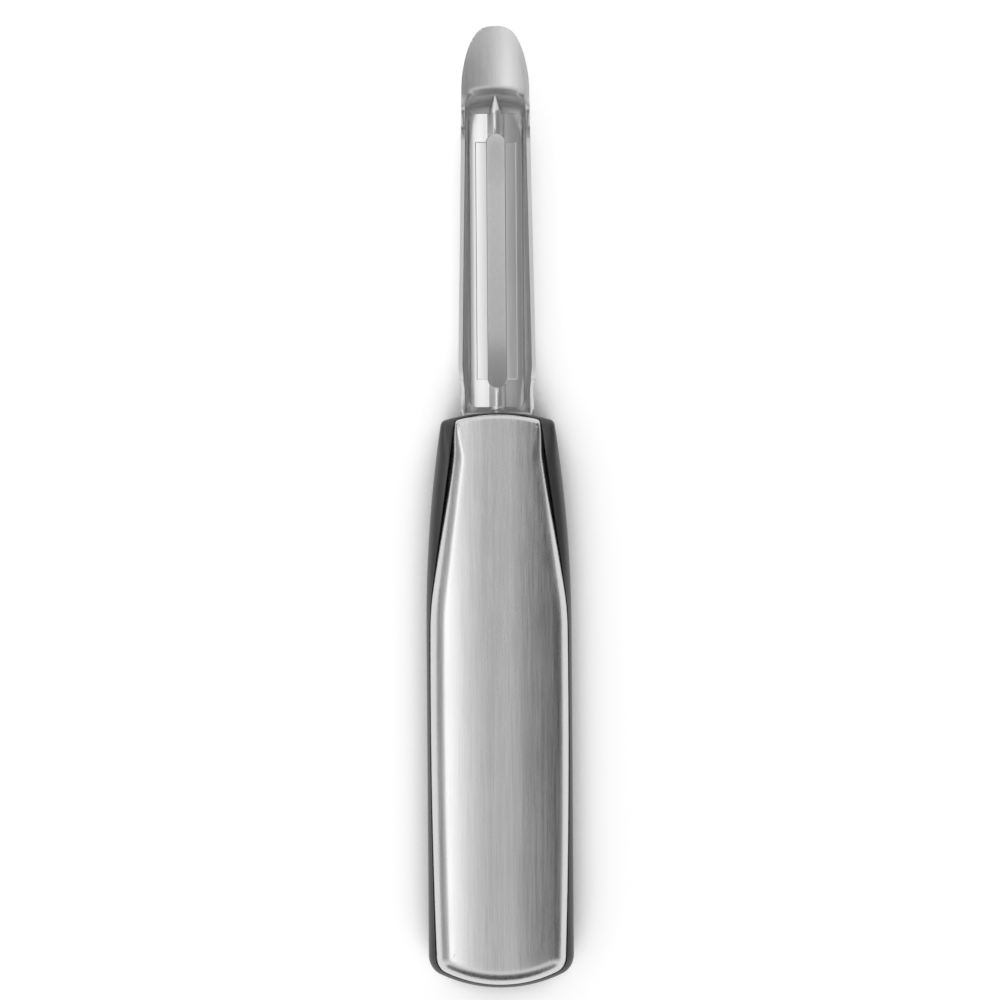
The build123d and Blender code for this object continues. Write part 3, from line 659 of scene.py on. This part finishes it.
# %% Pivots of the blade
FRONT_WALL_Y = 81.13 * MM
FRONT_WALL_DEEP = 0.82 * MM
RIB_RADIUS = 1.33 * MM
FRONT_JOURNAL = 0.45 * MM
REAR_JOURNAL = 0.9 * MM
PIVOT_SEAT = 0.9 * MM
SEAT_TAPER = 0.8
NECK_ROUND = 0.3 * MM
SHOULDER_ROUND = 0.4 * MM
neck_y = BLADE_FRONT_Y + 0.8 * MM
cone_y = FRONT_WALL_Y - 0.35 * MM
front_end_y = FRONT_WALL_Y + FRONT_WALL_DEEP + 0.3 * MM
shoulder_y = COLLAR_Y + 0.25 * MM
rear_end_y = COLLAR_Y - 1.3 * MM
turn = np.radians(np.linspace(0, 90, 6))
front_pivot = lathe(
    [(BLADE_FRONT_Y - PIVOT_SEAT, 0), (BLADE_FRONT_Y - PIVOT_SEAT, RIB_RADIUS * SEAT_TAPER),
     (neck_y - NECK_ROUND, RIB_RADIUS),
     (neck_y, RIB_RADIUS * 0.95), (cone_y, FRONT_JOURNAL), (front_end_y - 0.1 * MM, FRONT_JOURNAL),
     (front_end_y, FRONT_JOURNAL * 0.6), (front_end_y, 0)],
    PIVOT_Z,
)
rear_pivot = lathe(
    [(BLADE_REAR_Y + PIVOT_SEAT, 0), (BLADE_REAR_Y + PIVOT_SEAT, RIB_RADIUS * SEAT_TAPER),
     (BLADE_REAR_Y, RIB_RADIUS)]
    + [
        (shoulder_y + SHOULDER_ROUND * (1 - math.sin(a)), RIB_RADIUS - SHOULDER_ROUND * (1 - math.cos(a)))
        for a in turn
    ]
    + [(shoulder_y, REAR_JOURNAL), (rear_end_y, REAR_JOURNAL), (rear_end_y, 0)],
    PIVOT_Z,
)

# %% [markdown]
# ## The drawn frame
#
# One sheet makes the scoop, the wall that carries the front pivot, and the trough with its two rails.
# Its walls, window and holes are engineering shapes, so the new piece starts from a merged copy of that
# mesh. What a press adds to it is softness: the crisp line where the wall turns over into the bowl
# becomes a round bend, and the bowl's rear corners run on over the rails. The triangles near the lip are
# divided first, so that there are enough points to bend.

# %% Sizes of the frame's lip
TIP_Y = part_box("blade_frame")[1].y
LIP_Y = TIP_Y - 13.4 * MM
BOWL_Z = PIVOT_Z + 2.2 * MM
BOWL_REAR_Y = LIP_Y - 2.4 * MM
BOWL_DEPTH = 1.7 * MM
BOWL_RADIUS = 11.3 * MM
BOW_RADIUS = ((TIP_Y - BOWL_REAR_Y) ** 2 + BOWL_DEPTH**2) / (2 * BOWL_DEPTH)
WALL_RUN = 1 / math.tan(math.radians(78))
PROW_RADIUS = 15.2 * MM
PROW_AXIS_Y = LIP_Y - PROW_RADIUS
LIP_BEND = 1.9 * MM
LIP_REACH = 6.0 * MM
LIP_FADE = 1.7 * MM
EAR_START = 4.3 * MM
EAR_END = 6.72 * MM
EAR_LENGTH = 2.6 * MM
EAR_SEAT = 0.06 * MM
EAR_LOW_Z = BOWL_Z + 0.35 * MM
LIP_FACET = 0.3 * MM
LIP_ROUNDS = 6
TINY = 1e-9
FLAT_ANGLE = math.radians(0.3)

# %% Soft lip


def bowl_face(x, y):
    """Height of the scoop's bowl, a barrel: an arc across whose radius shrinks along the peeler.

    Known fault: further than BOW_RADIUS from the bowl's rear the root is of a negative number, and the
    height isn't a number there. The frame's tang lies that far back.
    """
    rise = BOW_RADIUS - np.sqrt(BOW_RADIUS**2 - (y - BOWL_REAR_Y) ** 2)
    return BOWL_Z + BOWL_RADIUS - np.sqrt(np.maximum((BOWL_RADIUS - rise) ** 2 - x**2, 0))


def soft_lip(points):
    """Moves points by the lip onto a round bend.

    A point lies s in front of the wall's face, a cone, and t under the bowl's face, a barrel. Where both
    are less than the bend's radius r, it goes along the line to the bend's middle (r, r), until it is as
    far from it as r less its depth in the sheet.
    """
    x, y, z = points.T
    wall_y = PROW_AXIS_Y + np.sqrt(np.maximum((PROW_RADIUS - (BOWL_Z - z) * WALL_RUN) ** 2 - x**2, 0))
    before, below = LIP_BEND - (y - wall_y), LIP_BEND - (bowl_face(x, y) - z)
    pull = 1 - np.maximum(before, below) / np.maximum(np.hypot(before, below), TINY)
    share = smooth((LIP_REACH - np.abs(x)) / LIP_FADE) * smooth((2 * LIP_BEND - before) / LIP_FADE)
    share = np.where((before > 0) & (below > 0), share * pull, 0)
    return points + np.stack([0 * x, share * before, -share * below], axis=-1)


def scoop_ears(points):
    """Draws the scoop's rear corners back over the rails, which end just below them."""
    x, y, z = points.T
    high = (z > EAR_LOW_Z) & (y < LIP_Y + EAR_SEAT)
    share = smooth((np.abs(x) - EAR_START) / (EAR_END - EAR_START)) * high
    on_lip = np.abs(y - LIP_Y) < EAR_SEAT
    on_rail = high & ~on_lip & (y > LIP_Y - EAR_LENGTH) & (np.abs(x) > EAR_START)
    lowered = np.where(on_rail, np.minimum(z, bowl_face(x, y) - EAR_SEAT), z)
    return np.stack([x, y - share * on_lip * EAR_LENGTH, lowered], axis=-1)


def soft_frame():
    """Copy of the frame's engineering mesh: merged, fine round the lip, bent soft there.

    Known fault: soft_lip is given every point, so the tang's points lose their height by bowl_face.
    """
    shape = bmesh.new()
    shape.from_mesh(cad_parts["blade_frame"].data)
    bmesh.ops.remove_doubles(shape, verts=shape.verts, dist=10 * WELD)
    bmesh.ops.dissolve_limit(
        shape, angle_limit=FLAT_ANGLE, verts=shape.verts, edges=shape.edges, delimit={"NORMAL"}
    )
    bmesh.ops.triangulate(shape, faces=[face for face in shape.faces if len(face.verts) > 4])
    for _ in range(LIP_ROUNDS):
        long_edges = [
            edge for edge in shape.edges
            if edge.calc_length() > LIP_FACET
            and any(
                abs(corner.co.x) < LIP_REACH + LIP_FADE
                and abs(corner.co.y - LIP_Y) < 2 * LIP_BEND
                and corner.co.z > BOWL_Z - 2 * LIP_BEND
                for corner in edge.verts
            )
        ]
        bmesh.ops.subdivide_edges(shape, edges=long_edges, cuts=1)
        bmesh.ops.triangulate(shape, faces=[face for face in shape.faces if len(face.verts) > 3])
    places = scoop_ears(soft_lip(np.array([corner.co[:] for corner in shape.verts])))
    for corner, place in zip(shape.verts, places):
        corner.co = place
    mesh = bpy.data.meshes.new("drawn_frame")
    shape.to_mesh(mesh)
    shape.free()
    return mesh


# %% [markdown]
# ## Brushed metal
#
# A brushed finish is thousands of fine scratches along one direction. Noise that is stretched a long
# way along Y and squeezed across it stands for them. Two sizes of it are mixed: fine scratches that
# the light catches, and a slower change from streak to streak. One group makes the values, and each
# steel takes them at its own strength.

# %% Brushed grain group


def new_group(name, inputs, outputs):
    """A shader node group with float inputs {name: value} and outputs {name: socket type}."""
    group = bpy.data.node_groups.new(name, "ShaderNodeTree")
    for label, value in inputs.items():
        socket = group.interface.new_socket(label, in_out="INPUT", socket_type="NodeSocketFloat")
        socket.default_value = value
    for label, kind in outputs.items():
        group.interface.new_socket(label, in_out="OUTPUT", socket_type=kind)
    return group, group.nodes.new("NodeGroupInput"), group.nodes.new("NodeGroupOutput")


def add_node(tree, kind, values=None, links=None, **settings):
    """Adds a node, sets its properties and socket values, and links sockets to it."""
    node = tree.nodes.new(kind)
    for key, value in settings.items():
        setattr(node, key, value)
    for key, value in (values or {}).items():
        node.inputs[key].default_value = value
    for key, source in (links or {}).items():
        tree.links.new(source, node.inputs[key])
    return node


def stretched_noise(tree, scale, detail, roughness=0.6):
    """Noise on object coordinates, scaled apart along each axis."""
    place = add_node(tree, "ShaderNodeTexCoord")
    mapping = add_node(tree, "ShaderNodeMapping", {"Scale": scale}, {"Vector": place.outputs["Object"]})
    noise = add_node(
        tree, "ShaderNodeTexNoise", {"Scale": 1, "Detail": detail, "Roughness": roughness},
        {"Vector": mapping.outputs["Vector"]},
    )
    return noise.outputs["Fac"]


FINE_GRAIN = (5200, 110, 5200)
STREAKS = (1500, 26, 1500)
CLOUDS = (55, 38, 55)
CLOUD_SHARE = 0.6

grain, grain_in, grain_out = new_group(
    "brushed_grain",
    {"Base": 0.6, "Contrast": 0.1, "Roughness": 0.3, "Spread": 0.1},
    {"Color": "NodeSocketColor", "Roughness": "NodeSocketFloat", "Height": "NodeSocketFloat"},
)
fine = stretched_noise(grain, FINE_GRAIN, 3)
streaks = stretched_noise(grain, STREAKS, 4)
clouds = stretched_noise(grain, CLOUDS, 2)
both = add_node(grain, "ShaderNodeMath", links={0: fine, 1: streaks}, operation="ADD")
level = add_node(grain, "ShaderNodeMath", {1: 1.0}, {0: both.outputs[0]}, operation="SUBTRACT")
shade = add_node(
    grain, "ShaderNodeMath",
    links={0: level.outputs[0], 1: grain_in.outputs["Contrast"], 2: grain_in.outputs["Base"]},
    operation="MULTIPLY_ADD",
)
tint = add_node(
    grain, "ShaderNodeCombineColor", links={k: shade.outputs[0] for k in ("Red", "Green", "Blue")}
)
uneven = add_node(grain, "ShaderNodeMath", {1: 0.5}, {0: clouds}, operation="SUBTRACT")
mixed = add_node(
    grain, "ShaderNodeMath", {1: CLOUD_SHARE}, {0: uneven.outputs[0], 2: level.outputs[0]},
    operation="MULTIPLY_ADD",
)
rough = add_node(
    grain, "ShaderNodeMath",
    links={0: mixed.outputs[0], 1: grain_in.outputs["Spread"], 2: grain_in.outputs["Roughness"]},
    operation="MULTIPLY_ADD",
)
grain.links.new(tint.outputs["Color"], grain_out.inputs["Color"])
grain.links.new(rough.outputs[0], grain_out.inputs["Roughness"])
grain.links.new(both.outputs[0], grain_out.inputs["Height"])

# %% [markdown]
# ## Finishes
#
# The covers, the frame and the blade are all stainless steel, but not alike: the covers are satin, the
# drawn frame is smoother, and the blade is bright. The grip is a matt elastomer with a fine moulded
# grain, and the core is plain moulded plastic.

# %% Materials
STEEL_IOR = 2.5
GRIP_GLOSS = 0.85


def new_material(name):
    """A node material with its Principled BSDF."""
    material = bpy.data.materials.new(name)
    material.use_nodes = True
    return material, material.node_tree, material.node_tree.nodes["Principled BSDF"]


def steel(name, base, contrast, roughness, spread, bump):
    """Stainless steel brushed along the peeler."""
    material, tree, shader = new_material(name)
    shader.inputs["Metallic"].default_value = 1.0
    shader.inputs["IOR"].default_value = STEEL_IOR
    values = add_node(tree, "ShaderNodeGroup", node_tree=grain)
    strengths = {"Base": base, "Contrast": contrast, "Roughness": roughness, "Spread": spread}
    for label, value in strengths.items():
        values.inputs[label].default_value = value
    relief = add_node(
        tree, "ShaderNodeBump", {"Strength": 1.0, "Distance": bump}, {"Height": values.outputs["Height"]}
    )
    tree.links.new(values.outputs["Color"], shader.inputs["Base Color"])
    tree.links.new(values.outputs["Roughness"], shader.inputs["Roughness"])
    tree.links.new(relief.outputs["Normal"], shader.inputs["Normal"])
    return material


def moulded(name, colour, roughness, spread, scale, bump):
    """Matt moulded plastic or elastomer with a fine grain."""
    material, tree, shader = new_material(name)
    pits = stretched_noise(tree, (scale, scale, scale), 5)
    soft = stretched_noise(tree, (scale / 40, scale / 40, scale / 40), 3)
    low, high = (tuple(c * k for c in colour) + (1,) for k in (0.75, 1.35))
    tone = add_node(tree, "ShaderNodeMix", {"A": low, "B": high}, {"Factor": soft}, data_type="RGBA")
    rough = add_node(
        tree, "ShaderNodeMapRange", {"To Min": roughness - spread, "To Max": roughness + spread},
        {"Value": pits},
    )
    relief = add_node(tree, "ShaderNodeBump", {"Strength": 1.0, "Distance": bump}, {"Height": pits})
    tree.links.new(tone.outputs["Result"], shader.inputs["Base Color"])
    tree.links.new(rough.outputs["Result"], shader.inputs["Roughness"])
    tree.links.new(relief.outputs["Normal"], shader.inputs["Normal"])
    return material


cover_steel = steel("cover_steel", 0.66, 0.16, 0.27, 0.16, 0.000004)
frame_steel = steel("frame_steel", 0.74, 0.14, 0.44, 0.14, 0.000004)
blade_steel = steel("blade_steel", 0.76, 0.08, 0.36, 0.10, 0.000002)
pin_steel = steel("pin_steel", 0.6, 0.1, 0.35, 0.1, 0.000003)
grip_elastomer = moulded("grip_elastomer", (0.022, 0.022, 0.023), 0.4, 0.08, 4000, 0.00002)
grip_shader = grip_elastomer.node_tree.nodes["Principled BSDF"]
grip_shader.inputs["Specular IOR Level"].default_value = GRIP_GLOSS
core_plastic = moulded("core_plastic", (0.04, 0.04, 0.042), 0.42, 0.06, 2500, 0.00001)
print("materials", [m.name for m in bpy.data.materials])

# %% [markdown]
# ## Dressing the pieces
#
# The covers, the grip, the frame and the blade take the new surfaces. The core and the pins, which the
# others hide, keep their engineering shape and take a finish.

# %% Covers and grip
COVER_EDGE = 0.08 * MM
BLADE_EDGE = 0.07 * MM

cover_points, cover_quads = cover_shell()
back_points = np.stack([cover_points[:, 0], cover_points[:, 1], 2 * MID_Z - cover_points[:, 2]], axis=-1)
for name, points in (("front_cover", cover_points), ("back_cover", back_points)):
    make_piece(
        name + "_sheet", [(points, cover_quads)], "handle", cover_steel, (name,),
        edge=COVER_EDGE,
    )
make_piece("soft_grip_band", [grip_shell()], "handle", grip_elastomer, ("soft_grip",))

# %% Frame and blade
dress("drawn_frame", soft_frame(), "handle", frame_steel, ("blade_frame",))
make_piece(
    "slotted_blade", [blade_sheet(), front_pivot, rear_pivot], "blade", blade_steel,
    ("swivel_blade",), edge=BLADE_EDGE,
)

# %% Finishes of the inner pieces
for node, material in {"core_front": core_plastic, "core_back": core_plastic, "tang_pins": pin_steel}.items():
    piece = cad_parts[node]
    piece.data.materials.clear()
    piece.data.materials.append(material)

# %% [markdown]
# ## Floor, light and camera
#
# The peeler lies on a white table in a light tent that is bright on its left, weaker overhead and dim on
# its right. Polished steel shows what is round it, so the tent is read from the highlights: each angle
# across the peeler gets the brightness that the cover mirrors from there. One way is a row of lamps.
# Here the world carries the tent as a ramp over that angle, so that no lamp's edge shows in the steel.
# Beyond both ends of the peeler the tent is evenly bright, but for a dark strip low down past the butt,
# which the steep wall under the scoop mirrors. The table glows to white for the rays that see it, and an
# ambient occlusion mask takes that glow away under and beside the peeler: this is painted shade on the
# table, on top of the shadow that the tent itself casts.

# %% Floor
FLOOR_HALF = 1.5
FLOOR_ROUGHNESS = 0.9
FLOOR_GLOSS = 0.1
FLOOR_TOP_UP = 0.62
FLOOR_WHITE = 0.62
# Reach and thresholds of the occlusion mask that paints shade into the table's glow under the peeler.
PAINTED_SHADOW_REACH = 16 * MM
PAINTED_SHADE_FULL_BELOW = 0.4
PAINTED_SHADE_NONE_ABOVE = 0.72
PAINTED_SHADE_SAMPLES = 16
floor_mesh = bpy.data.meshes.new("table_top")
floor_mesh.from_pydata(
    [(x * FLOOR_HALF, y * FLOOR_HALF, 0) for x, y in ((-1, -1), (1, -1), (1, 1), (-1, 1))], [], [(0, 1, 2, 3)]
)
floor = bpy.data.objects.new("table_top", floor_mesh)
bpy.context.scene.collection.objects.link(floor)
paper, paper_tree, paper_shader = new_material("white_table")
paper_shader.inputs["Base Color"].default_value = (FLOOR_WHITE, FLOOR_WHITE, FLOOR_WHITE, 1)
paper_shader.inputs["Roughness"].default_value = FLOOR_ROUGHNESS
paper_shader.inputs["Specular IOR Level"].default_value = FLOOR_GLOSS
floor_mesh.materials.append(paper)
ray_kind = add_node(paper_tree, "ShaderNodeLightPath")
seen_rays = add_node(
    paper_tree, "ShaderNodeMath",
    links={0: ray_kind.outputs["Is Camera Ray"], 1: ray_kind.outputs["Is Glossy Ray"]},
    operation="MAXIMUM",
)
white_rays = add_node(
    paper_tree, "ShaderNodeMath",
    links={0: seen_rays.outputs[0], 1: ray_kind.outputs["Is Transmission Ray"]},
    operation="MAXIMUM",
)
# Painted shade: ambient occlusion lowers the table's white glow under and beside the peeler, beyond the
# tent's own shadow.
painted_shade_occlusion = add_node(
    paper_tree, "ShaderNodeAmbientOcclusion", {"Distance": PAINTED_SHADOW_REACH}, samples=PAINTED_SHADE_SAMPLES
)
top_up_outside_painted_shade = add_node(
    paper_tree, "ShaderNodeMapRange", {1: PAINTED_SHADE_FULL_BELOW, 2: PAINTED_SHADE_NONE_ABOVE, 3: 0, 4: FLOOR_TOP_UP},
    links={0: painted_shade_occlusion.outputs["AO"]}, interpolation_type="SMOOTHSTEP",
)
top_up_with_painted_shade = add_node(
    paper_tree, "ShaderNodeMath", links={0: white_rays.outputs[0], 1: top_up_outside_painted_shade.outputs[0]},
    operation="MULTIPLY",
)
paper_shader.inputs["Emission Color"].default_value = (1, 1, 1, 1)
paper_tree.links.new(top_up_with_painted_shade.outputs[0], paper_shader.inputs["Emission Strength"])

# %% Light tent
TENT_ACROSS = {
    -90: 0.35, -60: 0.38, -42: 0.58, -33: 1.3, -27: 2.4, -22: 1.6, -16: 0.86, -8: 0.78, 0: 0.64, 6: 0.36,
    14: 0.20, 24: 0.13, 48: 0.02, 70: 0.10, 90: 0.2,
}
TENT_ENDS = 0.95
TENT_ENDS_START = math.sin(math.radians(5))
TENT_ENDS_FULL = math.sin(math.radians(26))
TENT_BUTT_DIM = 0.1
TENT_BUTT_HIGH = math.sin(math.radians(32))
TENT_BUTT_LOW = math.sin(math.radians(52))
TENT_PEAK = max(TENT_ACROSS.values())

world = bpy.data.worlds.new("light_tent")
bpy.context.scene.world = world
world.use_nodes = True
tent = world.node_tree
place = add_node(tent, "ShaderNodeTexCoord")
axes = add_node(tent, "ShaderNodeSeparateXYZ", links={0: place.outputs["Generated"]})
across = add_node(
    tent, "ShaderNodeMath", links={0: axes.outputs["X"], 1: axes.outputs["Z"]}, operation="ARCTAN2"
)
turned_share = add_node(
    tent, "ShaderNodeMapRange", {1: -math.pi / 2, 2: math.pi / 2, 3: 0, 4: 1}, links={0: across.outputs[0]}
)
ramp = add_node(tent, "ShaderNodeValToRGB", links={0: turned_share.outputs[0]})
ramp.color_ramp.interpolation = "B_SPLINE"
for count, (angle, radiance) in enumerate(TENT_ACROSS.items()):
    share = (angle + 90) / 180
    stops = ramp.color_ramp.elements
    stop = stops[count] if count < 2 else stops.new(share)
    stop.position = share
    stop.color = (*[radiance / TENT_PEAK] * 3, 1)
sideways = add_node(
    tent, "ShaderNodeMath", {1: TENT_PEAK}, links={0: ramp.outputs["Color"]}, operation="MULTIPLY"
)
lengthwise = add_node(tent, "ShaderNodeMath", links={0: axes.outputs["Y"]}, operation="ABSOLUTE")
ends_share = add_node(
    tent, "ShaderNodeMapRange", {1: TENT_ENDS_START, 2: TENT_ENDS_FULL, 3: 0, 4: 1},
    links={0: lengthwise.outputs[0]}, interpolation_type="SMOOTHSTEP",
)
ends = add_node(
    tent, "ShaderNodeMapRange",
    {1: -TENT_BUTT_LOW, 2: -TENT_BUTT_HIGH, 3: TENT_BUTT_DIM, 4: TENT_ENDS},
    links={0: axes.outputs["Y"]}, interpolation_type="SMOOTHSTEP",
)
radiance = add_node(
    tent, "ShaderNodeMix",
    links={0: ends_share.outputs[0], 2: sideways.outputs[0], 3: ends.outputs[0]},
)
room = tent.nodes["Background"]
room.inputs["Color"].default_value = (1, 1, 1, 1)
tent.links.new(radiance.outputs[0], room.inputs["Strength"])

# %% Camera
PHOTO_SIZE = 1000
MM_PER_PIXEL = 190 / 964
TIP_ROW = 25
AXIS_COLUMN = 498.14
LEAN = math.radians(0.409)
CAMERA_DISTANCE = 2.5
SENSOR = 36
CLIP_END = 20
view_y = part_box("blade_frame")[1].y - (PHOTO_SIZE / 2 - TIP_ROW) * MM_PER_PIXEL * MM
view_x = (PHOTO_SIZE / 2 - AXIS_COLUMN) * MM_PER_PIXEL * MM
camera_data = bpy.data.cameras.new("camera")
camera_data.sensor_width = SENSOR
camera_data.lens = SENSOR * CAMERA_DISTANCE / (PHOTO_SIZE * MM_PER_PIXEL * MM)
camera_data.clip_end = CLIP_END
camera = bpy.data.objects.new("camera", camera_data)
camera.location = (view_x, view_y, TOP_Z + CAMERA_DISTANCE)
camera.rotation_euler = (0, 0, -LEAN)
bpy.context.scene.collection.objects.link(camera)
bpy.context.scene.camera = camera
bpy.context.scene.view_settings.view_transform = "Standard"
